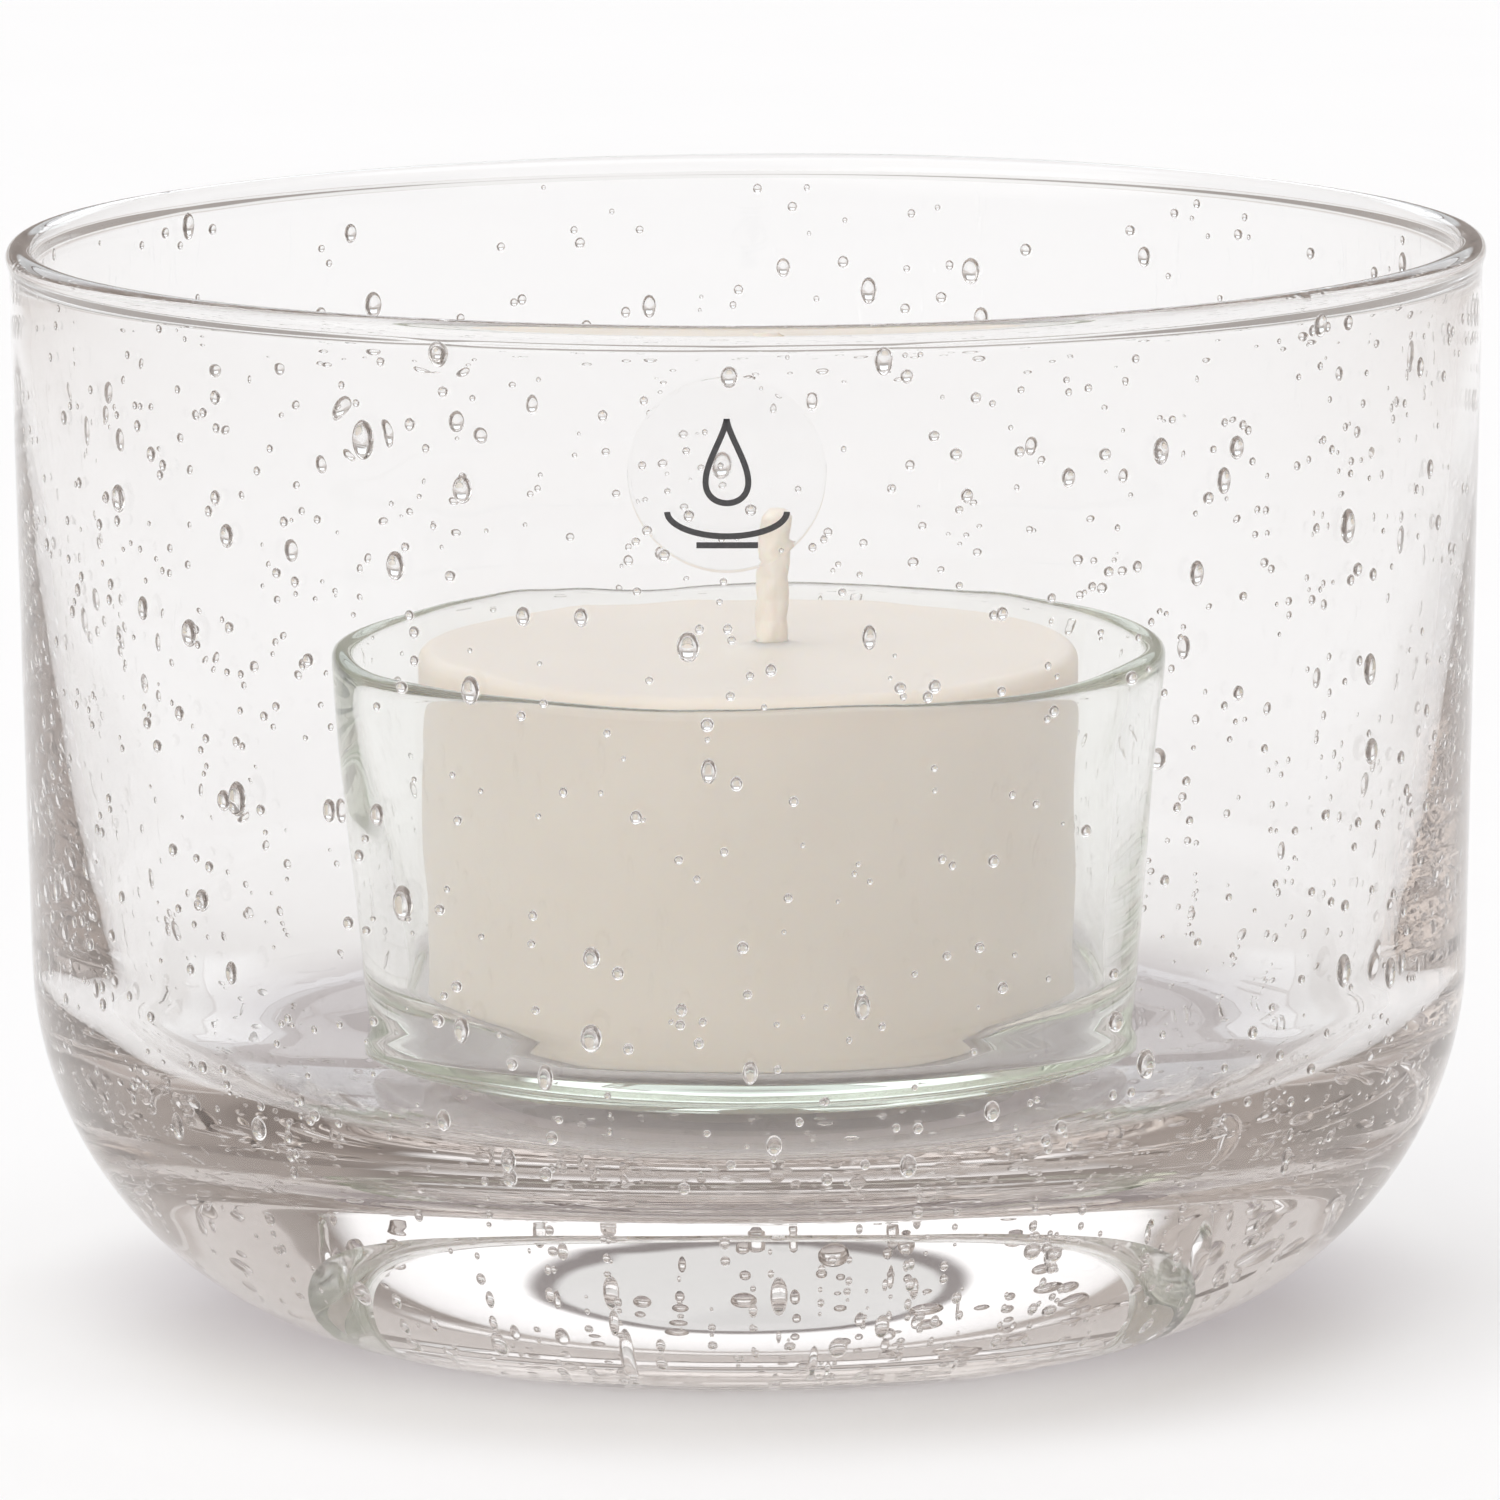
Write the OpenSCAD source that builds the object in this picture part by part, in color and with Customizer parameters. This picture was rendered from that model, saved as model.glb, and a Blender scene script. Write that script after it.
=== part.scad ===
// Tealight holder: a heavy seeded-glass bowl with a small clear glass cup standing
// loose inside it, and a wax tealight refill with its wick standing loose in the cup.
// Origin: centre of the bowl's foot, on the surface it stands on. +Z up, front is -Y.

/* [Bowl] */
// Outer diameter at the lip
bowl_d = 85; // [70:1:160]
// Overall height
bowl_h = 63.5; // [52:0.5:140]
// Wall thickness just below the lip
bowl_wall = 1.2; // [0.8:0.1:3]
// Extra wall thickness where the wall meets the base, taken from the inside
bowl_wall_gain = 2.7; // [1:0.1:5]
// How far the outer wall leans in from the lip down to the lower corner
bowl_taper = 0.9; // [0:0.1:3]
// Radius of the large rounded corner under the outer wall
bowl_corner_r = 22.5; // [12:0.5:27]
// Thickness of the glass base
bowl_base = 13.4; // [10:0.2:20]
// Radius of the rounded corner around the inside floor
floor_corner_r = 9; // [4:0.5:12]
// Width of the flat ring that the bowl stands on
foot_ring_w = 3.9; // [2:0.1:6]
// Depth of the hollow inside that ring
punt_depth = 0.7; // [0.3:0.1:2]
// How far the fire-polished lip stands proud of the wall
lip_proud = 0.2; // [0.1:0.05:0.4]

/* [Candle] */
// Diameter of the wax
wax_d = 38.2; // [30:0.1:46]
// Height of the wax
wax_h = 22.5; // [10:0.1:26]
// Radius rounding the wax's lower edge
wax_low_r = 2.2; // [0.5:0.1:3]
// Radius rounding the wax's upper edge
wax_top_r = 0.5; // [0.2:0.1:1.5]
// Diameter of the waxed cotton wick
wick_d = 1.9; // [1.2:0.1:3]
// Length of wick that stands above the wax
wick_out = 8.6; // [4:0.1:12]
// How far the wick stands to the right of the wax's centre
wick_x = 1.3; // [-2:0.1:2]
// Diameter of the steel disc that holds the wick
sustainer_d = 12.6; // [9:0.2:20]
// Thickness of the steel sheet
sustainer_t = 0.3; // [0.2:0.05:0.5]
// Height of the crimped neck above the disc
neck_h = 3; // [1:0.1:5]

/* [Cup] */
// Wall thickness at the cup's rim
cup_wall = 1.3; // [0.8:0.1:2]
// Wall thickness at the cup's lower corner
cup_low_wall = 1.8; // [1:0.1:3]
// How far the cup's side leans in from the rim down to the lower corner
cup_taper = 1.6; // [0.5:0.1:3]
// Thickness of the cup's floor
cup_floor = 2.9; // [1.5:0.1:5]
// Radius of the cup's lower outside corner
cup_corner_r = 3.6; // [1:0.1:5]
// Width of the flat ring that the cup stands on
cup_ring_w = 3.5; // [1.5:0.1:6]
// Depth of the shallow recess inside that ring
cup_recess_depth = 0.35; // [0.1:0.05:1]

/* [Sticker] */
// Diameter of the clear sticker
label_d = 11; // [6:0.5:16]
// Thickness of the clear film
label_t = 0.08; // [0.05:0.01:0.15]
// Height of the sticker's centre below the lip
label_drop = 8.2; // [6:0.2:20]
// Sideways place of the sticker's centre
label_x = -1.1; // [-4:0.1:4]

/* [Clearances] */
// Gap between the wax and the cup's wall, low down
cup_gap = 1.7; // [0.4:0.1:3]
// How far the cup's rim stands above the wax
rim_over_wax = 0.2; // [0:0.1:4]
// Gap between the sticker's film and the glass, filled by its adhesive
label_gap = 0.03; // [0.01:0.01:0.1]
// Gap around the wick in the wax and in the neck
wick_clear = 0.02; // [0.01:0.01:0.1]
// Gap between the steel holder and the wax around it
sustainer_clear = 0.05; // [0.02:0.01:0.2]

/* [Hidden] */
$fn = 96;

// Number of straight steps that stand for each curved stretch of an outline
arc_steps = 14;
lip_steps = 8;
// Every cut runs this far past the face that it opens
past = 1;

// Bowl: outer wall, from the top of the lower corner to the neck of the lip
bowl_r = bowl_d / 2;
wall_top_r = bowl_r - lip_proud;
wall_low_r = wall_top_r - bowl_taper;
lip_r = bowl_wall / 2 + lip_proud;
lip_z = bowl_h - lip_r;
wall_top_z = lip_z - lip_r;
// Bowl: inner wall, a shallow parabola that thickens the glass downwards
inner_top_r = bowl_r - 2 * lip_r;
inner_low_r = wall_low_r - bowl_wall - bowl_wall_gain;
inner_low_z = bowl_base + floor_corner_r;
// Bowl: the hollow under the foot is a cap of a large sphere
foot_r = wall_low_r - bowl_corner_r;
punt_r = foot_r - foot_ring_w;
punt_sphere_r = (punt_r * punt_r + punt_depth * punt_depth) / (2 * punt_depth);

// Cup: it stands on the bowl's floor and is made to the wax's size
wax_r = wax_d / 2;
cup_z = bowl_base;
cup_floor_z = cup_z + cup_floor;
cup_h = cup_floor + wax_h + rim_over_wax;
cup_inner_low_r = wax_r + cup_gap;
cup_inner_corner_r = wax_low_r + cup_gap;
cup_low_r = cup_inner_low_r + cup_low_wall;
cup_r = cup_low_r + cup_taper;
cup_rim_r = cup_wall / 2;
cup_rim_z = cup_z + cup_h - cup_rim_r;
cup_foot_r = cup_low_r - cup_corner_r;

// Candle: it stands on the cup's floor
wax_z = cup_floor_z;
wick_r = wick_d / 2;
neck_outer_r = wick_r + wick_clear + sustainer_t;
wick_z = wax_z + sustainer_t;
wick_l = wax_h - sustainer_t + wick_out;

// Points on an arc about (cx, cy), from angle a0 to angle a1
function arc(cx, cy, r, a0, a1, steps) =
    [for (i = [0:steps]) let (a = a0 + (a1 - a0) * i / steps) [cx + r * cos(a), cy + r * sin(a)]];

// Radius of the bowl's outer wall at height z, and of its inner wall
function outer_wall_r(z) =
    wall_low_r + bowl_taper * (z - bowl_corner_r) / (wall_top_z - bowl_corner_r);
function inner_wall_r(z) =
    inner_top_r - (inner_top_r - inner_low_r) * pow((lip_z - z) / (lip_z - inner_low_z), 2);

// Half of the bowl's section, from the foot up the outside, over the lip and down the inside
module bowl_section() {
    polygon(concat(
        [[0, 0]],
        arc(foot_r, bowl_corner_r, bowl_corner_r, -90, 0, arc_steps),
        [[wall_top_r, wall_top_z]],
        arc(bowl_r - lip_r, lip_z, lip_r, 0, 180, lip_steps),
        [for (i = [1:arc_steps])
            let (z = lip_z + (inner_low_z - lip_z) * i / arc_steps) [inner_wall_r(z), z]],
        arc(inner_low_r - floor_corner_r, inner_low_z, floor_corner_r, -10, -90, lip_steps),
        [[0, bowl_base]]
    ));
}

module glass_bowl() {
    color([0.86, 0.87, 0.86, 0.4])
    difference() {
        rotate_extrude() bowl_section();
        translate([0, 0, punt_depth - punt_sphere_r]) sphere(r = punt_sphere_r);
    }
}

// A thin shell that follows the outer wall's taper, cut to a disc on the front
module label() {
    low_z = bowl_h - label_drop - label_d / 2 - past;
    top_z = bowl_h - label_drop + label_d / 2;
    inner = label_gap;
    outer = label_gap + label_t;
    color([0.93, 0.94, 0.95, 0.5])
    intersection() {
        rotate_extrude() polygon([
            [outer_wall_r(low_z) + inner, low_z],
            [outer_wall_r(low_z) + outer, low_z],
            [outer_wall_r(top_z) + outer, top_z],
            [outer_wall_r(top_z) + inner, top_z]
        ]);
        translate([label_x, 0, bowl_h - label_drop])
            rotate([90, 0, 0]) cylinder(d = label_d, h = bowl_d);
    }
}

// Half of the cup's section
module cup_section() {
    polygon(concat(
        [[0, cup_z]],
        arc(cup_foot_r, cup_z + cup_corner_r, cup_corner_r, -90, 0, lip_steps),
        arc(cup_r - cup_rim_r, cup_rim_z, cup_rim_r, 0, 180, lip_steps),
        arc(cup_inner_low_r - cup_inner_corner_r, cup_floor_z + cup_inner_corner_r,
            cup_inner_corner_r, 0, -90, lip_steps),
        [[0, cup_floor_z]]
    ));
}

module tealight_cup() {
    color([0.85, 0.9, 0.85, 0.45])
    difference() {
        rotate_extrude() cup_section();
        translate([0, 0, cup_z - past])
            cylinder(r = cup_foot_r - cup_ring_w, h = past + cup_recess_depth);
    }
}

// The wax stands in the cup; its hollow underneath takes the steel disc and neck
module wax() {
    disc_cut_r = sustainer_d / 2 + sustainer_clear;
    disc_cut_h = sustainer_t + sustainer_clear;
    neck_cut_h = sustainer_t + neck_h + sustainer_clear;
    color([0.93, 0.91, 0.86])
    difference() {
        rotate_extrude() polygon(concat(
            [[0, wax_z]],
            arc(wax_r - wax_low_r, wax_z + wax_low_r, wax_low_r, -90, 0, lip_steps),
            arc(wax_r - wax_top_r, wax_z + wax_h - wax_top_r, wax_top_r, 0, 90, lip_steps),
            [[0, wax_z + wax_h]]
        ));
        translate([wick_x, 0, wax_z - past]) cylinder(r = disc_cut_r, h = past + disc_cut_h);
        translate([wick_x, 0, wax_z - past])
            cylinder(r = neck_outer_r + sustainer_clear, h = past + neck_cut_h);
        translate([wick_x, 0, wax_z]) cylinder(r = wick_r + wick_clear, h = wax_h + past);
    }
}

module wick() {
    color([0.95, 0.94, 0.9])
    translate([wick_x, 0, wick_z]) cylinder(r = wick_r, h = wick_l);
}

// A stamped steel disc with a crimped neck drawn up around the wick
module wick_sustainer() {
    color([0.72, 0.73, 0.75])
    translate([wick_x, 0, wax_z])
    difference() {
        union() {
            cylinder(d = sustainer_d, h = sustainer_t);
            cylinder(r = neck_outer_r, h = sustainer_t + neck_h);
        }
        translate([0, 0, sustainer_t]) cylinder(r = wick_r + wick_clear, h = neck_h + past);
    }
}

glass_bowl();
label();
tealight_cup();
wax();
wick();
wick_sustainer();
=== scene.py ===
"""Looks of a seeded-glass tealight holder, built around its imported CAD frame.

Every length is in metres. The glass, the wax, the wick and the sticker are rebuilt at high
resolution from the outlines of their CAD nodes, and the air seeds are real voids in the glass.
"""

import math

import bmesh
import bpy
import numpy as np
from mathutils import Matrix, Vector


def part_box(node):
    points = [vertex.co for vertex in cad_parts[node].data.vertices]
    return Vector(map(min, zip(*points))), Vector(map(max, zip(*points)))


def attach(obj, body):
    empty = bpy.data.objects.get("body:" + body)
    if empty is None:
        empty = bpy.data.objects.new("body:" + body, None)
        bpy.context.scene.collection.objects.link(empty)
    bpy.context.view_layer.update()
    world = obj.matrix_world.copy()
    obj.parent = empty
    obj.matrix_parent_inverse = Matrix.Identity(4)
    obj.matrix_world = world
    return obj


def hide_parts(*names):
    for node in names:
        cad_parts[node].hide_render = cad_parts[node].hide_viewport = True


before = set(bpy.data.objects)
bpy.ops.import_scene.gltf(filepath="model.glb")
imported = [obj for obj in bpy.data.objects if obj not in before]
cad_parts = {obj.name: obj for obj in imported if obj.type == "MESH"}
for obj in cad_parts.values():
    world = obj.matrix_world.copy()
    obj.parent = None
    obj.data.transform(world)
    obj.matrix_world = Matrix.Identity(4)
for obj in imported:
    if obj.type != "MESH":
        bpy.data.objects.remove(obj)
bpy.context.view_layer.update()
MM = 0.001
TAU = 2 * math.pi
rng = np.random.default_rng(41)


# ---------------------------------------------------------------- outlines from the frame
def outline(node, start):
    """The node's half section as ordered (radius, height) rows, from the ring nearest start.

    Mesh edges that run between two different rings join neighbours on the outline.
    """
    cell = 2e-5
    ring, keys = {}, []
    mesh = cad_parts[node].data
    for vertex in mesh.vertices:
        spot = (math.hypot(vertex.co.x, vertex.co.y), vertex.co.z)
        key = tuple(round(value / cell) for value in spot)
        near = [(key[0] + i, key[1] + j) for i in (0, -1, 1) for j in (0, -1, 1)]
        key = next((k for k in near if k in ring), key)
        ring.setdefault(key, spot)
        keys.append(key)
    links = {key: set() for key in ring}
    for edge in mesh.edges:
        a, b = (keys[v] for v in edge.vertices)
        if a != b:
            links[a].add(b)
            links[b].add(a)
    path = [min(ring, key=lambda k: math.dist(ring[k], start))]
    while True:
        ahead = links[path[-1]] - set(path)
        if not ahead:
            break
        path.append(min(ahead, key=lambda k: math.dist(ring[k], ring[path[-1]])))
    return np.array([ring[k] for k in path])


def spline(points, step):
    """Resamples an outline along a smooth curve through its points, at about one step apart."""
    dense = [points[0]]
    for a, b in zip(points[:-1], points[1:]):
        count = max(1, int(np.hypot(*(b - a)) / (2 * MM)))
        dense += [a + (b - a) * i / count for i in range(1, count + 1)]
    p = np.array([2 * dense[0] - dense[1], *dense, 2 * dense[-1] - dense[-2]])
    curve = []
    for i in range(1, len(p) - 2):
        quad = p[i - 1:i + 3]
        chords = np.hypot(*np.diff(quad, axis=0).T)
        knots = np.concatenate([[0], np.cumsum(np.sqrt(chords) + 1e-9)])
        for t in np.linspace(knots[1], knots[2], 12, endpoint=False):
            a = [(knots[j + 1] - t) / (knots[j + 1] - knots[j]) * quad[j]
                 + (t - knots[j]) / (knots[j + 1] - knots[j]) * quad[j + 1] for j in range(3)]
            b = [(knots[j + 2] - t) / (knots[j + 2] - knots[j]) * a[j]
                 + (t - knots[j]) / (knots[j + 2] - knots[j]) * a[j + 1] for j in range(2)]
            curve.append((knots[2] - t) / (knots[2] - knots[1]) * b[0]
                         + (t - knots[1]) / (knots[2] - knots[1]) * b[1])
    curve = np.array([*curve, p[-2]])
    length = np.concatenate([[0], np.cumsum(np.hypot(*np.diff(curve, axis=0).T))])
    sizes = step(curve) if callable(step) else np.full(len(curve), step)
    count = np.concatenate([[0], np.cumsum(np.diff(length) / ((sizes[1:] + sizes[:-1]) / 2))])
    wanted = np.linspace(0, count[-1], int(round(count[-1])) + 1)
    return np.stack([np.interp(wanted, count, curve[:, k]) for k in (0, 1)], axis=1)


def normals_2d(points):
    """Unit normals of an outline walked with the solid on its left: they point out of it."""
    along = np.gradient(points, axis=0)
    along /= np.hypot(*along.T)[:, None] + 1e-12
    return np.stack([along[:, 1], -along[:, 0]], axis=1)


# ---------------------------------------------------------------- mesh helpers
def make_piece(name, vertices, faces, material, body, smooth=True):
    """A mesh object that rides on a CAD body."""
    mesh = bpy.data.meshes.new(name)
    mesh.from_pydata([tuple(v) for v in vertices], [], faces)
    mesh.update()
    mesh.polygons.foreach_set("use_smooth", [smooth] * len(mesh.polygons))
    mesh.materials.append(material)
    piece = bpy.data.objects.new(name, mesh)
    bpy.context.scene.collection.objects.link(piece)
    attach(piece, body)
    return piece


def revolve(points, segments, push=None, closed=False, centre=None):
    """Vertices and faces of an outline turned about Z.

    push(theta, radius, height) moves the surface along its own normal. Rings on the axis
    become one pole point. A closed outline joins its last ring to its first.
    """
    theta = np.arange(segments) * TAU / segments
    out = normals_2d(points)
    vertices, rings = [], []
    for i, (radius, height) in enumerate(points):
        shift = centre(radius, height) if centre else 0.0
        if radius < 0.02 * MM:
            move = 0
            if push:
                move = push(np.zeros(1), np.zeros(1), np.full(1, height), out[i:i + 1])[0]
            rings.append([len(vertices)])
            vertices.append((shift, 0.0, height + move * out[i, 1]))
            continue
        move = push(theta, np.full(segments, radius), np.full(segments, height),
                    np.repeat(out[i:i + 1], segments, axis=0)) if push else np.zeros(segments)
        r = radius + move * out[i, 0]
        z = height + move * out[i, 1]
        rings.append(list(range(len(vertices), len(vertices) + segments)))
        vertices += list(zip(shift + r * np.cos(theta), r * np.sin(theta), z))
    faces = []
    pairs = list(zip(rings[:-1], rings[1:])) + ([(rings[-1], rings[0])] if closed else [])
    for low, high in pairs:
        for k in range(segments):
            n = (k + 1) % segments
            if len(low) == 1:
                faces.append((low[0], high[n], high[k]))
            elif len(high) == 1:
                faces.append((low[k], low[n], high[0]))
            else:
                faces.append((low[k], low[n], high[n], high[k]))
    return vertices, faces


def waves(seed, count, around, along, size):
    """A smooth seamless ripple of (theta, height): the sum of a few random waves."""
    dice = np.random.default_rng(seed)
    m = dice.integers(around[0], around[1] + 1, count)
    k = TAU / dice.uniform(along[0], along[1], count) * dice.choice([-1, 1], count)
    phase = dice.uniform(0, TAU, count)
    weight = size * dice.uniform(0.4, 1.0, count) / np.sqrt(count)

    def ripple(theta, height):
        total = np.zeros_like(theta)
        for i in range(count):
            total = total + weight[i] * np.cos(m[i] * theta + k[i] * height + phase[i])
        return total

    return ripple


# ---------------------------------------------------------------- materials
def new_material(name):
    material = bpy.data.materials.new(name)
    material.use_nodes = True
    tree = material.node_tree
    shader = tree.nodes["Principled BSDF"]
    return material, tree, shader


def node(tree, kind, **values):
    """A shader node with its properties and its input values set by name."""
    made = tree.nodes.new(kind)
    for key, value in values.items():
        if hasattr(made, key):
            setattr(made, key, value)
        else:
            made.inputs[key.replace("_", " ")].default_value = value
    return made


def object_coordinates(tree, scale=(1, 1, 1)):
    place = node(tree, "ShaderNodeTexCoord")
    mapping = node(tree, "ShaderNodeMapping", Scale=scale)
    tree.links.new(place.outputs["Object"], mapping.inputs["Vector"])
    return mapping.outputs["Vector"]


def glass_material(name, tint, ripple_scale, ripple_depth, absorbed=None):
    """Clear glass with faint cords and ripples in its surface, and a body colour in thick parts.

    absorbed is the density and the colour of that body colour; without it the glass has none.
    """
    material, tree, shader = new_material(name)
    shader.inputs["Base Color"].default_value = (*tint, 1)
    shader.inputs["Roughness"].default_value = 0.0
    shader.inputs["IOR"].default_value = 1.5
    shader.inputs["Transmission Weight"].default_value = 1.0
    noise = node(tree, "ShaderNodeTexNoise", Scale=ripple_scale, Detail=2.0, Roughness=0.45)
    tree.links.new(object_coordinates(tree, (1, 1, 0.6)), noise.inputs["Vector"])
    bump = node(tree, "ShaderNodeBump", Strength=1.0, Distance=ripple_depth)
    tree.links.new(noise.outputs["Fac"], bump.inputs["Height"])
    tree.links.new(bump.outputs["Normal"], shader.inputs["Normal"])
    if absorbed:
        body = node(tree, "ShaderNodeVolumeAbsorption", Density=absorbed[0])
        body.inputs["Color"].default_value = (*absorbed[1], 1)
        tree.links.new(body.outputs["Volume"], tree.nodes["Material Output"].inputs["Volume"])
    return material


def wax_material():
    """Off-white paraffin: soft light inside it, faint clouds, a satin skin with fine pits."""
    material, tree, shader = new_material("wax")
    shader.inputs["Roughness"].default_value = 0.45
    shader.inputs["IOR"].default_value = 1.44
    shader.inputs["Subsurface Weight"].default_value = 0.6
    shader.inputs["Subsurface Radius"].default_value = (1.0, 0.8, 0.55)
    shader.inputs["Subsurface Scale"].default_value = 3.0 * MM
    spot = object_coordinates(tree)
    cloud = node(tree, "ShaderNodeTexNoise", Scale=90.0, Detail=4.0, Roughness=0.55)
    tree.links.new(spot, cloud.inputs["Vector"])
    tint = node(tree, "ShaderNodeMix", data_type="RGBA")
    tint.inputs["A"].default_value = (0.7, 0.64, 0.575, 1)
    tint.inputs["B"].default_value = (0.78, 0.73, 0.665, 1)
    tree.links.new(cloud.outputs["Fac"], tint.inputs["Factor"])
    tree.links.new(tint.outputs["Result"], shader.inputs["Base Color"])
    pits = node(tree, "ShaderNodeTexNoise", Scale=1400.0, Detail=3.0, Roughness=0.6)
    tree.links.new(spot, pits.inputs["Vector"])
    bump = node(tree, "ShaderNodeBump", Strength=0.25, Distance=0.05 * MM)
    tree.links.new(pits.outputs["Fac"], bump.inputs["Height"])
    tree.links.new(bump.outputs["Normal"], shader.inputs["Normal"])
    return material


def wick_material():
    """Waxed cotton: creamy white with darker valleys between the plaits, a shade painted into the
    low points of its fibre bumps.
    """
    material, tree, shader = new_material("wick_cotton")
    shader.inputs["Roughness"].default_value = 0.6
    shader.inputs["Subsurface Weight"].default_value = 0.3
    shader.inputs["Subsurface Scale"].default_value = 0.6 * MM
    fibres = node(tree, "ShaderNodeTexNoise", Scale=2600.0, Detail=4.0, Roughness=0.7)
    tree.links.new(object_coordinates(tree, (1, 1, 0.25)), fibres.inputs["Vector"])
    # painted shade: the darker colour falls where the fibre bump is lowest
    tint = node(tree, "ShaderNodeMix", data_type="RGBA")
    tint.inputs["A"].default_value = (0.8, 0.75, 0.66, 1)
    tint.inputs["B"].default_value = (0.93, 0.9, 0.84, 1)
    tree.links.new(fibres.outputs["Fac"], tint.inputs["Factor"])
    tree.links.new(tint.outputs["Result"], shader.inputs["Base Color"])
    bump = node(tree, "ShaderNodeBump", Strength=0.4, Distance=0.05 * MM)
    tree.links.new(fibres.outputs["Fac"], bump.inputs["Height"])
    tree.links.new(bump.outputs["Normal"], shader.inputs["Normal"])
    return material


def steel_material():
    """Tinned sheet steel with fine rolling lines."""
    material, tree, shader = new_material("tinned_steel")
    shader.inputs["Metallic"].default_value = 1.0
    grain = node(tree, "ShaderNodeTexNoise", Scale=900.0, Detail=3.0, Roughness=0.6)
    tree.links.new(object_coordinates(tree, (1, 8, 1)), grain.inputs["Vector"])
    tint = node(tree, "ShaderNodeMix", data_type="RGBA")
    tint.inputs["A"].default_value = (0.55, 0.56, 0.58, 1)
    tint.inputs["B"].default_value = (0.74, 0.75, 0.76, 1)
    tree.links.new(grain.outputs["Fac"], tint.inputs["Factor"])
    tree.links.new(tint.outputs["Result"], shader.inputs["Base Color"])
    rough = node(tree, "ShaderNodeMapRange", To_Min=0.25, To_Max=0.45)
    tree.links.new(grain.outputs["Fac"], rough.inputs["Value"])
    tree.links.new(rough.outputs["Result"], shader.inputs["Roughness"])
    return material


def film_material():
    """Clear sticker film, matched to the glass by its adhesive: little but its edge shows."""
    material, tree, shader = new_material("label_film")
    shader.inputs["IOR"].default_value = 1.06
    shader.inputs["Transmission Weight"].default_value = 1.0
    haze = node(tree, "ShaderNodeTexNoise", Scale=700.0, Detail=2.0)
    tree.links.new(object_coordinates(tree), haze.inputs["Vector"])
    rough = node(tree, "ShaderNodeMapRange", To_Min=0.02, To_Max=0.08)
    tree.links.new(haze.outputs["Fac"], rough.inputs["Value"])
    tree.links.new(rough.outputs["Result"], shader.inputs["Roughness"])
    tint = node(tree, "ShaderNodeMix", data_type="RGBA")
    tint.inputs["A"].default_value = (0.97, 0.97, 0.97, 1)
    tint.inputs["B"].default_value = (0.99, 0.99, 0.99, 1)
    tree.links.new(haze.outputs["Fac"], tint.inputs["Factor"])
    tree.links.new(tint.outputs["Result"], shader.inputs["Base Color"])
    return material


def ink_material():
    """Charcoal printing ink, slightly uneven."""
    material, tree, shader = new_material("ink")
    shader.inputs["Roughness"].default_value = 0.5
    grain = node(tree, "ShaderNodeTexNoise", Scale=9000.0, Detail=2.0)
    tree.links.new(object_coordinates(tree), grain.inputs["Vector"])
    tint = node(tree, "ShaderNodeMix", data_type="RGBA")
    tint.inputs["A"].default_value = (0.02, 0.02, 0.022, 1)
    tint.inputs["B"].default_value = (0.1, 0.1, 0.105, 1)
    tree.links.new(grain.outputs["Fac"], tint.inputs["Factor"])
    tree.links.new(tint.outputs["Result"], shader.inputs["Base Color"])
    return material


SIDE_TINT_START, SIDE_TINT_FULL = 0.11, 0.36
FRONT_TINT_START, FRONT_TINT_FULL = -0.075, -0.2
# a soft shadow painted on the floor: full within the first radius of this centre, a little behind
# the foot, and gone past the second
PAINTED_SHADOW_CENTRE = (0, 14 * MM, 0)
PAINTED_SHADOW_FULL, PAINTED_SHADOW_END = 24 * MM, 45 * MM


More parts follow.
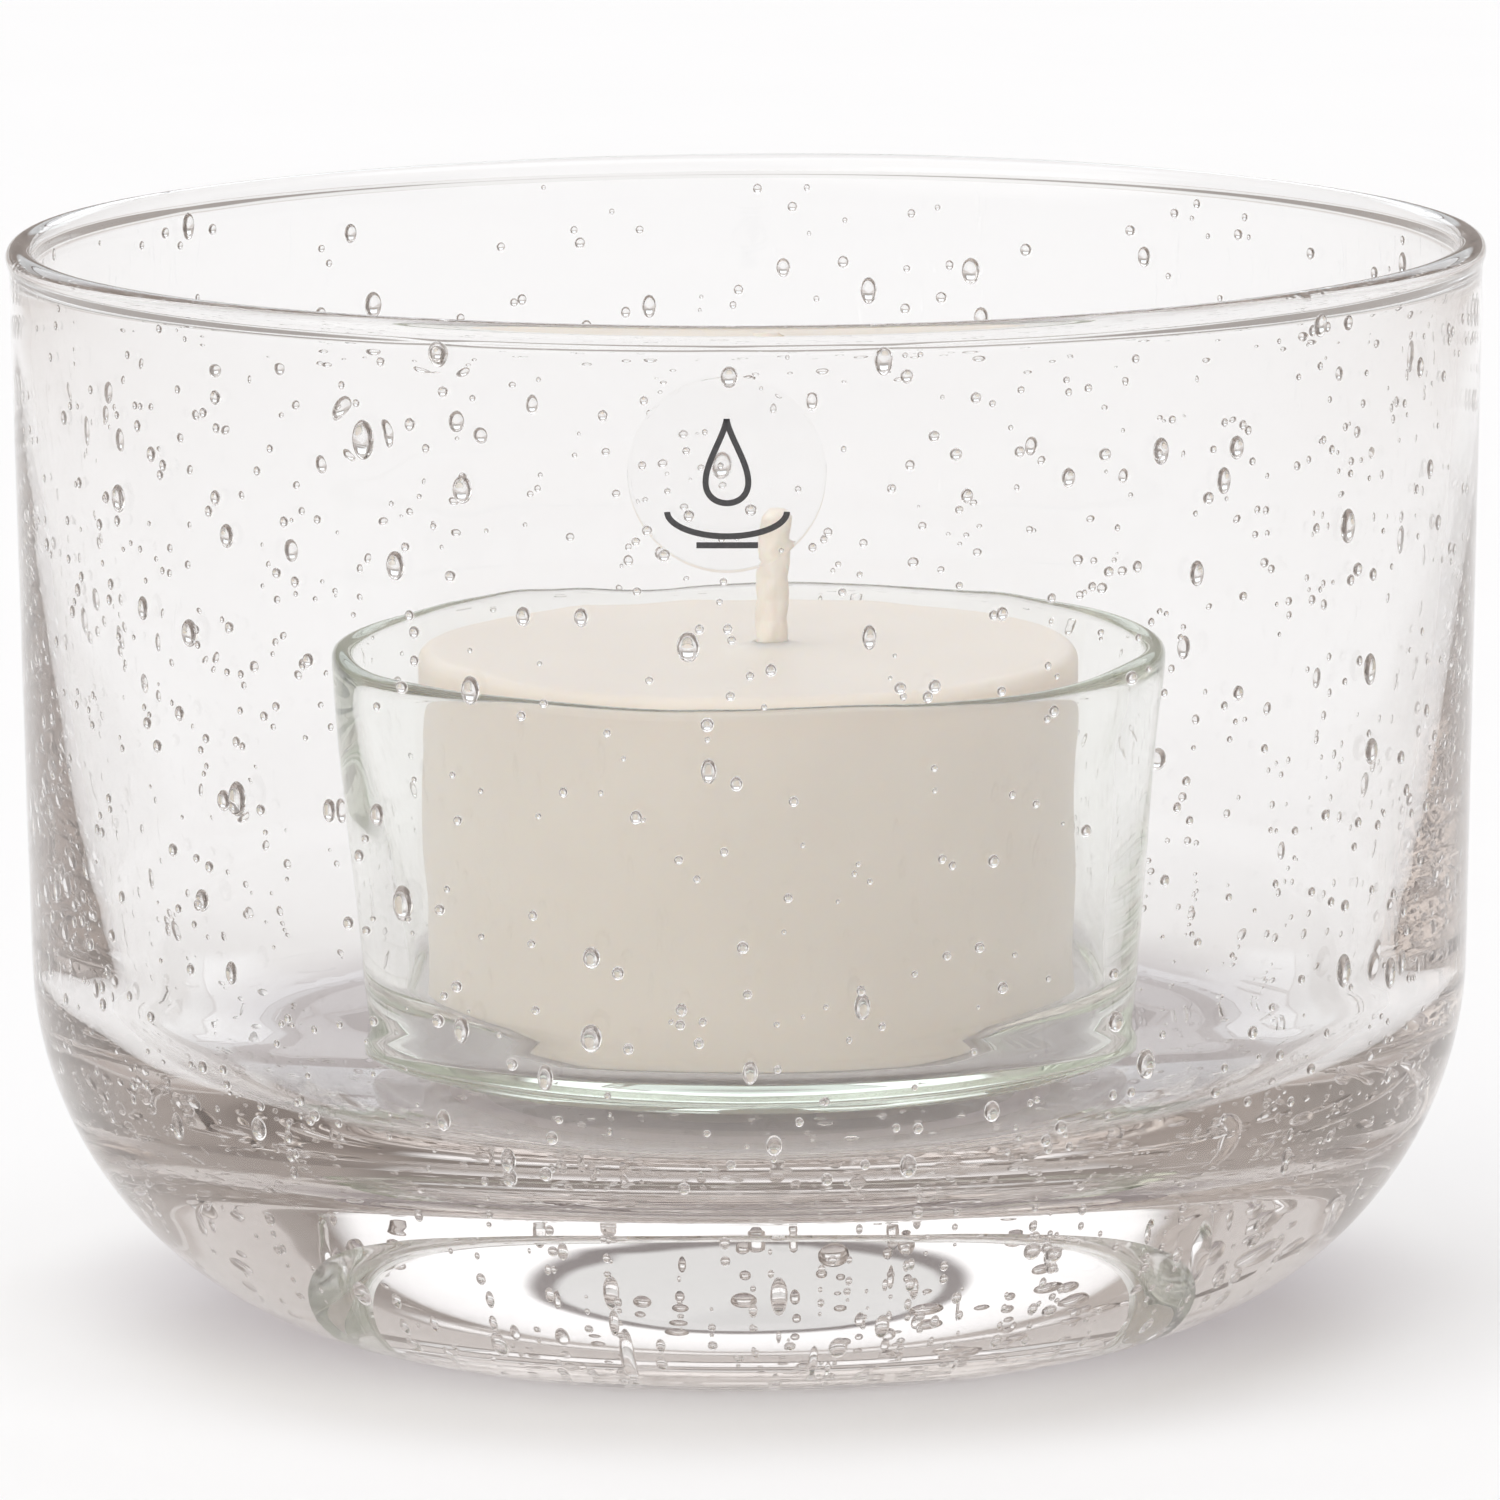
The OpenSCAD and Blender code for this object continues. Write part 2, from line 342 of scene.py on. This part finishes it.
def floor_material():
    """Plain pale paper: white, warmer at its front and sides, with a soft shadow by the foot
    painted into its colour.
    """
    material, tree, shader = new_material("floor")
    shader.inputs["Roughness"].default_value = 0.9
    shader.inputs["Specular IOR Level"].default_value = 0.0
    spot = object_coordinates(tree)
    paper = node(tree, "ShaderNodeTexNoise", Scale=30.0, Detail=3.0)
    tree.links.new(spot, paper.inputs["Vector"])
    white = node(tree, "ShaderNodeMix", data_type="RGBA")
    white.inputs["A"].default_value = (0.905, 0.905, 0.91, 1)
    white.inputs["B"].default_value = (0.92, 0.92, 0.925, 1)
    tree.links.new(paper.outputs["Fac"], white.inputs["Factor"])
    place = node(tree, "ShaderNodeSeparateXYZ")
    tree.links.new(spot, place.inputs["Vector"])
    aside = node(tree, "ShaderNodeMath", operation="ABSOLUTE")
    tree.links.new(place.outputs["X"], aside.inputs[0])
    shares = []
    for source, start, full in ((aside.outputs["Value"], SIDE_TINT_START, SIDE_TINT_FULL),
                                (place.outputs["Y"], FRONT_TINT_START, FRONT_TINT_FULL)):
        far = node(tree, "ShaderNodeMapRange", interpolation_type="SMOOTHSTEP",
                   From_Min=start, From_Max=full)
        tree.links.new(source, far.inputs["Value"])
        shares.append(far.outputs["Result"])
    most = node(tree, "ShaderNodeMath", operation="MAXIMUM")
    tree.links.new(shares[0], most.inputs[0])
    tree.links.new(shares[1], most.inputs[1])
    tint = node(tree, "ShaderNodeMix", data_type="RGBA")
    tree.links.new(most.outputs["Value"], tint.inputs["Factor"])
    tree.links.new(white.outputs["Result"], tint.inputs["A"])
    tint.inputs["B"].default_value = (0.66, 0.62, 0.6, 1)
    # painted shadow: the paper's colour turns lavender grey towards the bowl's foot
    near = node(tree, "ShaderNodeVectorMath", operation="DISTANCE")
    tree.links.new(spot, near.inputs[0])
    near.inputs[1].default_value = PAINTED_SHADOW_CENTRE
    shade = node(tree, "ShaderNodeMapRange", interpolation_type="SMOOTHSTEP",
                 From_Min=PAINTED_SHADOW_END, From_Max=PAINTED_SHADOW_FULL)
    tree.links.new(near.outputs["Value"], shade.inputs["Value"])
    painted_shadow_mix = node(tree, "ShaderNodeMix", data_type="RGBA")
    tree.links.new(shade.outputs["Result"], painted_shadow_mix.inputs["Factor"])
    tree.links.new(tint.outputs["Result"], painted_shadow_mix.inputs["A"])
    painted_shadow_mix.inputs["B"].default_value = (0.62, 0.59, 0.62, 1)
    tree.links.new(painted_shadow_mix.outputs["Result"], shader.inputs["Base Color"])
    return material


# ---------------------------------------------------------------- camera and light
CAMERA_DISTANCE = 1.0
CAMERA_HEIGHT = 181.6 * MM
LOOK_HEIGHT = 33.7 * MM
SENSOR = 36.0
LENS = 420.8
SHIFT_X = 0.0012
ROLL = -0.005


def make_camera():
    data = bpy.data.cameras.new("camera")
    data.sensor_width = SENSOR
    data.lens = LENS
    data.clip_start = 0.05
    data.clip_end = 50.0
    data.shift_x = SHIFT_X
    camera = bpy.data.objects.new("camera", data)
    bpy.context.scene.collection.objects.link(camera)
    place = Vector((0, -CAMERA_DISTANCE, CAMERA_HEIGHT))
    aim = Vector((0, 0, LOOK_HEIGHT)) - place
    turn = aim.to_track_quat("-Z", "Y").to_matrix().to_4x4()
    camera.matrix_world = Matrix.Translation(place) @ turn @ Matrix.Rotation(ROLL, 4, "Z")
    bpy.context.scene.camera = camera


def make_world():
    """A warm grey studio round a white backdrop, with a large soft light in front on the left."""
    world = bpy.data.worlds.new("studio")
    bpy.context.scene.world = world
    world.use_nodes = True
    world.cycles.sampling_method = "NONE"
    tree = world.node_tree
    tree.nodes.clear()
    direction = node(tree, "ShaderNodeTexCoord").outputs["Generated"]

    def side(towards, start, full):
        """A soft share, from 0 to 1, of how far the direction turns along towards."""
        dot = node(tree, "ShaderNodeVectorMath", operation="DOT_PRODUCT")
        tree.links.new(direction, dot.inputs[0])
        dot.inputs[1].default_value = Vector(towards).normalized()
        soft = node(tree, "ShaderNodeMapRange", interpolation_type="SMOOTHSTEP",
                    From_Min=start, From_Max=full)
        tree.links.new(dot.outputs["Value"], soft.inputs["Value"])
        return soft.outputs["Result"]

    def patch(below, tone, *edges):
        """Lays tone over below where every one of the soft edges is passed."""
        share = side(*edges[0])
        for edge in edges[1:]:
            both = node(tree, "ShaderNodeMath", operation="MULTIPLY")
            tree.links.new(share, both.inputs[0])
            tree.links.new(side(*edge), both.inputs[1])
            share = both.outputs["Value"]
        mix = node(tree, "ShaderNodeMix", data_type="RGBA")
        tree.links.new(share, mix.inputs["Factor"])
        if isinstance(below, tuple):
            mix.inputs["A"].default_value = (*below, 1)
        else:
            tree.links.new(below, mix.inputs["A"])
        mix.inputs["B"].default_value = (*tone, 1)
        return mix.outputs["Result"]

    def height(degrees, blur=0.004):
        """The soft edge that is passed above this elevation."""
        level = math.sin(math.radians(degrees))
        return (0, 0, 1), level - blur, level + blur

    def below_height(degrees, blur=0.004):
        """The soft edge that is passed below this elevation."""
        level = math.sin(math.radians(degrees))
        return (0, 0, -1), -level - blur, -level + blur

    right_of = ((0.85, 0.53, 0), -0.06, 0.06)
    left_of = ((-0.85, 0.53, 0), -0.06, 0.06)
    behind = (right_of, left_of)
    # the room: warm grey, lighter behind the camera, with dark corners and two soft lights
    colour = patch((0.56, 0.515, 0.49), (0.84, 0.79, 0.76), ((0, -1, 0), 0.1, 0.7))
    colour = patch(colour, (0.4, 0.37, 0.35), ((-1, 0.1, 0.1), 0.84, 0.95))
    colour = patch(colour, (0.36, 0.32, 0.3), ((0.58, 0.64, 0.5), 0.88, 0.96))
    colour = patch(colour, (1.9, 1.96, 2.02), ((0, 0, 1), 0.76, 0.9))
    colour = patch(colour, (1.6, 1.58, 1.54), ((-0.55, -0.62, 0.55), 0.76, 0.9))
    colour = patch(colour, (0.34, 0.31, 0.29), ((0.95, -0.3, 0.2), 0.84, 0.96))
    # the wall behind the object, from the floor up: dim, bright, a dark slot, brightest, dim
    colour = patch(colour, (0.38, 0.345, 0.325), *behind)
    colour = patch(colour, (1.15, 1.22, 1.27), *behind, height(10, 0.02))
    colour = patch(colour, (0.34, 0.32, 0.33), *behind, height(15.0, 0.002))
    colour = patch(colour, (1.8, 1.9, 2.0), *behind, height(15.5), below_height(29, 0.07))
    colour = patch(colour, (0.66, 0.63, 0.61), *behind, height(29, 0.07))
    # a pale skirting all round, so that a low camera sees no dark line past the floor
    colour = patch(colour, (0.92, 0.91, 0.905), below_height(1.3))
    back = node(tree, "ShaderNodeBackground", Strength=1.0)
    tree.links.new(colour, back.inputs["Color"])
    out = node(tree, "ShaderNodeOutputWorld")
    tree.links.new(back.outputs["Background"], out.inputs["Surface"])


def make_floor():
    size = 15.0
    drop = -0.02 * MM
    mesh = bpy.data.meshes.new("floor")
    corners = [(x * size, y * size, drop) for x, y in ((-1, -1), (1, -1), (1, 1), (-1, 1))]
    mesh.from_pydata(corners, [], [(0, 1, 2, 3)])
    mesh.materials.append(floor_material())
    floor = bpy.data.objects.new("floor", mesh)
    bpy.context.scene.collection.objects.link(floor)


# ---------------------------------------------------------------- the bowl and its seeds
BOWL = outline("glass_bowl", (0, 0.7 * MM))
if BOWL[0, 0] > 1 * MM:
    BOWL = BOWL[::-1]
# the walk starts at the middle of the foot, goes up the outside, over the lip and down inside
LIP = int(BOWL[:, 1].argmax())
BOWL_TOP = BOWL[LIP, 1]
FLOOR_Z = BOWL[-1, 1]
OUTER = BOWL[:LIP + 1]
INNER = BOWL[LIP:][::-1]
OUTER_SIDE = OUTER[OUTER[:, 0] > 12 * MM]


def outer_radius(z):
    """Radius of the bowl's outside at height z."""
    return np.interp(z, OUTER_SIDE[:, 1], OUTER_SIDE[:, 0])


def inner_radius(z):
    """Radius of the hollow at height z, nothing below its floor."""
    return np.where(z > FLOOR_Z, np.interp(z, INNER[:, 1], INNER[:, 0]), 0.0)


outer_ripple = waves(3, 14, (2, 22), (12 * MM, 60 * MM), 0.007 * MM)
inner_ripple = waves(5, 18, (2, 26), (9 * MM, 50 * MM), 0.010 * MM)
rim_ripple = waves(8, 5, (1, 4), (1, 2), 0.12 * MM)


def seed_sizes(count, middle, spread, low, high):
    """Random half-sizes, spread about middle and kept between low and high."""
    return np.clip(middle * np.exp(spread * rng.standard_normal(count)), low, high)


def wall_seeds(count):
    """Seeds blown into the side wall: rows of theta, radius, height and three half-sizes."""
    rows = []
    width = seed_sizes(count, 0.235 * MM, 0.38, 0.1 * MM, 0.6 * MM)
    width[:int(count * 0.02)] = rng.uniform(0.45, 0.68, int(count * 0.02)) * MM
    for half in width:
        theta = rng.uniform(0, TAU)
        z = rng.uniform(FLOOR_Z + 1.5 * MM, BOWL_TOP - 1.6 * MM)
        r_out, r_in = float(outer_radius(z)), float(inner_radius(z))
        wall = r_out - r_in
        deep = min(half * 0.9, 0.36 * wall)
        tall = half * (rng.uniform(1.25, 1.7) if half > 0.4 * MM else rng.uniform(1.0, 1.2))
        tall = min(tall, 1.15 * MM, BOWL_TOP - 0.8 * MM - z)
        room = wall - 2 * deep
        r = r_in + deep + room * rng.uniform(0.2, 0.8)
        rows.append((theta, r, z, half, deep, tall))
    return rows


def base_seeds(count):
    """Smaller seeds in the thick glass of the base and the lower corner, in upright strings."""
    rows = []
    while len(rows) < count:
        z = rng.uniform(1.2 * MM, FLOOR_Z + 6 * MM)
        r_out = float(outer_radius(z))
        r = r_out * math.sqrt(rng.uniform(0, 1)) * 0.99
        theta = rng.uniform(0, TAU)
        for half in seed_sizes(int(rng.integers(1, 5)), 0.18 * MM, 0.4, 0.08 * MM, 0.5 * MM):
            half = float(half)
            gap = half + 0.35 * MM
            hollow = float(inner_radius(z + gap)) + gap if z + gap > FLOOR_Z else 0.0
            off_punt = r > 16 * MM or z > 1.6 * MM + gap
            if hollow < r < float(outer_radius(z)) - gap and off_punt:
                tall = half * rng.uniform(1.0, 1.5)
                rows.append((theta + rng.normal(0, 0.05 * MM) / r_out, r, z, half, half, tall))
            z += half + rng.uniform(0.4, 1.0) * MM
    return rows[:count]


def ball(subdivisions):
    """Unit ball vertices and triangles, wound so that its normals point inwards."""
    bm = bmesh.new()
    bmesh.ops.create_icosphere(bm, subdivisions=subdivisions, radius=1.0)
    spots = np.array([v.co[:] for v in bm.verts])
    faces = np.array([[v.index for v in f.verts][::-1] for f in bm.faces])
    bm.free()
    return spots, faces


BALLS = {level: ball(level) for level in (2, 3, 4)}


def seeds_piece(name, rows, material):
    """One mesh of air voids: each a ball flattened into the wall and drawn out upwards."""
    vertices, faces, base = [], [], 0
    for theta, r, z, half, deep, tall in rows:
        level = 2 if half < 0.2 * MM else 3 if half < 0.52 * MM else 4
        spots, triangles = BALLS[level]
        radial = np.array([math.cos(theta), math.sin(theta), 0])
        side = np.array([-math.sin(theta), math.cos(theta), 0])
        up = np.array([0, 0, 1.0])
        middle = r * radial + z * up
        vertices.append(middle + spots[:, :1] * side * half + spots[:, 1:2] * radial * deep
                        + spots[:, 2:] * up * tall)
        faces.append(triangles + base)
        base += len(spots)
    piece = make_piece(name, np.concatenate(vertices), np.concatenate(faces).tolist(),
                       material, "bowl")
    return piece


def bowl_push(seeds):
    """How far the bowl's surface stands proud: slow ripples, and a swell over each large seed."""
    big = np.array([row for row in seeds if row[3] > 0.33 * MM])

    def push(theta, radius, height, out):
        outside = radius > (outer_radius(height) + inner_radius(height)) / 2
        ripple = np.where(outside, outer_ripple(theta, height), inner_ripple(theta, height))
        lip = np.clip((height - (BOWL_TOP - 6 * MM)) / (6 * MM), 0, 1)
        foot = np.clip((height - 1.0 * MM) / (6 * MM), 0, 1)
        floor = np.clip((radius - 12 * MM) / (20 * MM), 0, 1)
        move = ripple * (1 - 0.6 * lip) * np.where(outside, foot, floor)
        move = move + rim_ripple(theta, height * 0) * lip * np.clip(out[:, 1], 0, 1)
        near = np.abs(big[:, 2] - height[0]) < 4 * MM
        for s_theta, s_r, s_z, half, *_ in big[near]:
            spread = 0.8 * MM + 0.6 * half
            turn = (theta - s_theta + math.pi) % TAU - math.pi
            apart = (turn * radius) ** 2 + (height - s_z) ** 2
            cover = np.abs(radius - s_r)
            swell = 0.012 * MM * (half / (0.45 * MM)) ** 2 * np.exp(-apart / (2 * spread ** 2)
                                                              - (cover / (1.6 * MM)) ** 2)
            move = move + swell
        return move

    return push


def bowl_step(curve):
    """Spacing of the rings: fine on the lip and the walls, wider on the floor and the foot."""
    r, z = curve[:, 0], curve[:, 1]
    step = np.full(len(curve), 0.66 * MM)
    step[z > BOWL_TOP - 1.8 * MM] = 0.2 * MM
    step[(r < 31 * MM) & (z < FLOOR_Z + 0.5 * MM) & (z > FLOOR_Z - 0.5 * MM)] = 1.3 * MM
    step[(r < 18 * MM) & (z < 2 * MM)] = 1.3 * MM
    return step


def make_bowl():
    surface = ((0.995, 0.995, 0.994), 70.0, 0.004 * MM)
    material = glass_material("seeded_glass", *surface, absorbed=(12.0, (0.47, 0.38, 0.32)))
    # a seed's own wall has no body colour, which would be counted twice
    air = glass_material("seed_air", *surface)
    seeds = wall_seeds(1350)
    low_seeds = base_seeds(1200)
    points = spline(np.array([*BOWL, (0, FLOOR_Z)]), bowl_step)
    vertices, faces = revolve(points, 384, bowl_push(seeds + low_seeds))
    bowl = make_piece("bowl_glass", vertices, faces, material, "bowl")
    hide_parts("glass_bowl")
    for name, rows, sectors in (("wall", seeds, 6), ("base", low_seeds, 3)):
        for i in range(sectors):
            here = [row for row in rows if int(row[0] / TAU * sectors) == i]
            seeds_piece(f"seeds_{name}_{i + 1}", here, air)


# ---------------------------------------------------------------- the cup
def make_cup():
    material = glass_material("cup_glass", (0.985, 0.99, 0.982), 120.0, 0.008 * MM,
                              absorbed=(8.0, (0.2, 0.36, 0.08)))
    low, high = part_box("tealight_cup")
    recess = outline("tealight_cup", (15.5 * MM, low[2] + 0.35 * MM))
    if recess[0, 1] > low[2] + 2 * MM:
        recess = recess[::-1]
    points = np.array([(0, recess[0, 1]), *recess, (0, recess[-1, 1])])
    air_film = 0.03 * MM
    points[:, 1] = np.maximum(points[:, 1], low[2] + air_film)

    def step(curve):
        size = np.full(len(curve), 0.45 * MM)
        size[curve[:, 1] > high[2] - 1.5 * MM] = 0.16 * MM
        size[curve[:, 0] < 14 * MM] = 1.2 * MM
        return size

    side = waves(11, 12, (2, 14), (8 * MM, 40 * MM), 0.035 * MM)
    rim = waves(12, 6, (2, 7), (1, 2), 0.12 * MM)

    def push(theta, radius, height, out):
        top = np.clip((height - (high[2] - 4 * MM)) / (4 * MM), 0, 1)
        stand = np.clip((height - low[2] - 0.5 * MM) / (3 * MM), 0, 1)
        return side(theta, height + radius) * stand + rim(theta, height * 0) * top * out[:, 1]

    vertices, faces = revolve(spline(points, step), 288, push)
    cup = make_piece("cup_glass", vertices, faces, material, "cup")
    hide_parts("tealight_cup")


# ---------------------------------------------------------------- the candle
WAX_LOW, WAX_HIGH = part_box("wax")
WICK_LOW, WICK_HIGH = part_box("wick")
DISC_LOW, DISC_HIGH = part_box("wick_sustainer")
WICK_X = (WICK_LOW[0] + WICK_HIGH[0]) / 2
WICK_R = (WICK_HIGH[0] - WICK_LOW[0]) / 2


def arc(cx, cz, r, start, end, count):
    """Points on an arc about (cx, cz), from one angle in degrees to another."""
    angles = [math.radians(start + (end - start) * i / count) for i in range(count + 1)]
    return [(cx + r * math.cos(a), cz + r * math.sin(a)) for a in angles]


def make_wax():
    radius = (WAX_HIGH[0] - WAX_LOW[0]) / 2
    low, top = WAX_LOW[2], WAX_HIGH[2]
    low_round, top_round = 2.2 * MM, 0.9 * MM
    gap = 0.05 * MM
    disc_r = (DISC_HIGH[0] - DISC_LOW[0]) / 2 + gap
    neck_wall = 0.32 * MM
    neck_r = WICK_R + neck_wall + gap
    sheet = 0.3 * MM
    bore = WICK_R + 0.02 * MM
    dish = 0.12 * MM
    # the wax climbs the wick by this much, over this width
    climb, climb_width = 0.5 * MM, 1.1 * MM
    crown = [(bore + (radius - top_round - bore) * t,
              top - dish + dish * t ** 3 + climb * math.exp(-(t * radius / climb_width)))
             for t in np.linspace(0, 1, 46)]
    side = [(radius, z) for z in np.linspace(top - top_round, low + low_round, 34)[1:-1]]
    points = (crown[:-1] + arc(radius - top_round, top - top_round, top_round, 90, 0, 8) + side
              + arc(radius - low_round, low + low_round, low_round, 0, -90, 10)
              + [(r, low) for r in np.linspace(radius - low_round, disc_r, 12)[1:]]
              + [(disc_r, low + sheet + gap), (neck_r, low + sheet + gap),
                 (neck_r, DISC_HIGH[2] + gap), (bore, DISC_HIGH[2] + gap)]
              + [(bore, z) for z in np.linspace(DISC_HIGH[2] + gap, top - dish, 10)[1:]])
    points = np.array(points)[::-1]
    clouds = waves(21, 10, (2, 9), (9 * MM, 40 * MM), 0.06 * MM)

    def push(theta, r, height, out):
        clear_of_disc = np.clip((r - disc_r - 1 * MM) / (3 * MM), 0, 1)
        clear_of_foot = np.clip((height - low) / (2 * MM), 0, 1)
        return clouds(theta, height + r) * (clear_of_disc * clear_of_foot)

    def centre(r, height):
        return WICK_X * float(np.clip(1 - (r - disc_r) / (5 * MM), 0, 1))

    vertices, faces = revolve(points, 224, push, closed=True, centre=centre)
    wax = make_piece("wax_puck", vertices, faces, wax_material(), "candle")
    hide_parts("wax")


def make_wick():
    """A plaited cotton wick, stiff with wax, leaning a little and cut off at the top."""
    around, rows = 56, 260
    low, top = WICK_LOW[2], WICK_HIGH[2]
    pitch = 2.6 * MM
    lean = 0.25 * MM
    bare = WAX_HIGH[2]
    vertices, faces = [], []
    for j in range(rows + 1):
        z = low + (top - low) * j / rows
        t = max(0.0, (z - bare) / (top - bare))
        shift = lean * t ** 2
        cap = min(1.0, math.sqrt(max(0.0, (top + 0.02 * MM - z) / (0.5 * MM))))
        buried = z < bare - 0.5 * MM
        for i in range(around):
            angle = TAU * i / around
            a = math.cos(3 * angle + TAU * z / pitch)
            b = math.cos(3 * angle - TAU * z / pitch + 1.0)
            plait = 0.93 + 0.07 * max(a, b)
            taper = 0.35 + 0.65 * cap if z > top - 0.5 * MM else 1
            r = WICK_R * (0.9 if buried else plait) * taper
            vertices.append((WICK_X + shift + r * math.cos(angle), r * math.sin(angle), z))
    for j in range(rows):
        for i in range(around):
            n = (i + 1) % around
            low_row, high_row = j * around, (j + 1) * around
            faces.append((low_row + i, low_row + n, high_row + n, high_row + i))
    faces.append(tuple(range(around))[::-1])
    faces.append(tuple(range(rows * around, (rows + 1) * around)))
    wick = make_piece("wick_plait", vertices, faces, wick_material(), "candle")
    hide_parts("wick")


# ---------------------------------------------------------------- the sticker
LABEL_LOW, LABEL_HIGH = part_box("label")
LABEL_X = (LABEL_LOW[0] + LABEL_HIGH[0]) / 2
LABEL_Z = (LABEL_LOW[2] + LABEL_HIGH[2]) / 2
LABEL_R = (LABEL_HIGH[2] - LABEL_LOW[2]) / 2


def on_wall(x, z, proud):
    """The point of the bowl's outer face at (x, z) on the front, moved out by proud."""
    r = float(outer_radius(z)) + proud
    theta = -math.pi / 2 + math.asin(x / r)
    r += float(outer_ripple(np.array([theta]), np.array([z]))[0])
    return (r * math.cos(theta), r * math.sin(theta), z)


def make_label():
    """A thin film on the glass, creased where an air pocket is caught near its upper left edge."""
    around, rings = 120, 22
    inner, outer = 0.05 * MM, 0.12 * MM
    layers = []
    for proud in (inner, outer):
        layer = [on_wall(LABEL_X, LABEL_Z, proud)]
        for j in range(1, rings + 1):
            for i in range(around):
                angle = TAU * i / around
                r = LABEL_R * j / rings
                x, z = LABEL_X + r * math.cos(angle), LABEL_Z + r * math.sin(angle)
                pocket = (math.exp(-((angle - 2.05) / 0.3) ** 2)
                          * math.exp(-((j / rings - 0.86) / 0.1) ** 2))
                crease = 0.05 * MM * pocket * (1 + math.sin(23 * angle + 9 * j))
                edge = proud if j < rings else (inner + outer) / 2
                layer.append(on_wall(x, z, edge + crease))
        layers.append(layer)
    size = len(layers[0])
    vertices = layers[0] + layers[1]
    faces = []
    for side in (0, 1):
        base = side * size
        for i in range(around):
            n = (i + 1) % around
            tri = (base, base + 1 + i, base + 1 + n)
            faces.append(tri if side else tri[::-1])
            for j in range(rings - 1):
                a, b = base + 1 + j * around, base + 1 + (j + 1) * around
                quad = (a + i, b + i, b + n, a + n)
                faces.append(quad if side else quad[::-1])
    last = 1 + (rings - 1) * around
    for i in range(around):
        n = (i + 1) % around
        faces.append((last + i, last + n, size + last + n, size + last + i))
    film = make_piece("label_film", vertices, faces, film_material(), "bowl")
    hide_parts("label")


def stroke(points, width, low, high):
    """A printed line on the sticker: a flat ribbon with round ends along points of (x, z)."""
    points = np.array(points)
    along = np.gradient(points, axis=0)
    along /= np.hypot(*along.T)[:, None]
    side = np.stack([-along[:, 1], along[:, 0]], axis=1)
    half = width / 2
    vertices, faces = [], []
    for p, s in zip(points, side):
        for sign, proud in ((-1, low), (-1, high), (1, high), (1, low)):
            spot = p + s * half * sign
            vertices.append(on_wall(LABEL_X + spot[0], LABEL_Z + spot[1], proud))
    for k in range(len(points) - 1):
        for c in range(4):
            d = (c + 1) % 4
            faces.append((4 * k + c, 4 * k + 4 + c, 4 * k + 4 + d, 4 * k + d))
    faces.append((0, 1, 2, 3))
    end = 4 * (len(points) - 1)
    faces.append((end + 3, end + 2, end + 1, end))
    return vertices, faces


def make_print():
    """A plain generic mark: a candle flame over a shallow dish, in one thin line each."""
    width = 0.34 * MM
    flame = []
    for i in range(91):
        t = TAU * i / 90
        x = 1.25 * MM * math.sin(t) * math.sin(t / 2) ** 2 * 1.45
        z = 2.35 * MM * math.cos(t) + 0.75 * MM
        flame.append((-x, z))
    dish = [(3.3 * MM * math.cos(a), -2.1 * MM + 1.35 * MM * math.sin(a))
            for a in np.linspace(math.pi, TAU, 60)]
    table = [(x * MM, -3.95 * MM) for x in np.linspace(-1.7, 1.7, 20)]
    vertices, faces = [], []
    for line in (flame, dish, table):
        v, f = stroke(line, width, 0.115 * MM, 0.14 * MM)
        faces += [tuple(i + len(vertices) for i in face) for face in f]
        vertices += v
    ink = make_piece("label_print", vertices, faces, ink_material(), "bowl", smooth=False)


# ---------------------------------------------------------------- build
def render_settings():
    scene = bpy.context.scene
    scene.view_settings.view_transform = "Standard"
    scene.cycles.max_bounces = 110
    scene.cycles.transmission_bounces = 110
    scene.cycles.glossy_bounces = 110
    scene.cycles.diffuse_bounces = 4
    scene.cycles.caustics_reflective = True
    scene.cycles.caustics_refractive = True
    scene.cycles.blur_glossy = 0.0
    scene.cycles.use_denoising = True


render_settings()
make_camera()
make_world()
make_floor()
make_bowl()
make_cup()
make_wax()
make_wick()
make_label()
make_print()
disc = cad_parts["wick_sustainer"]
disc.data.materials.clear()
disc.data.materials.append(steel_material())
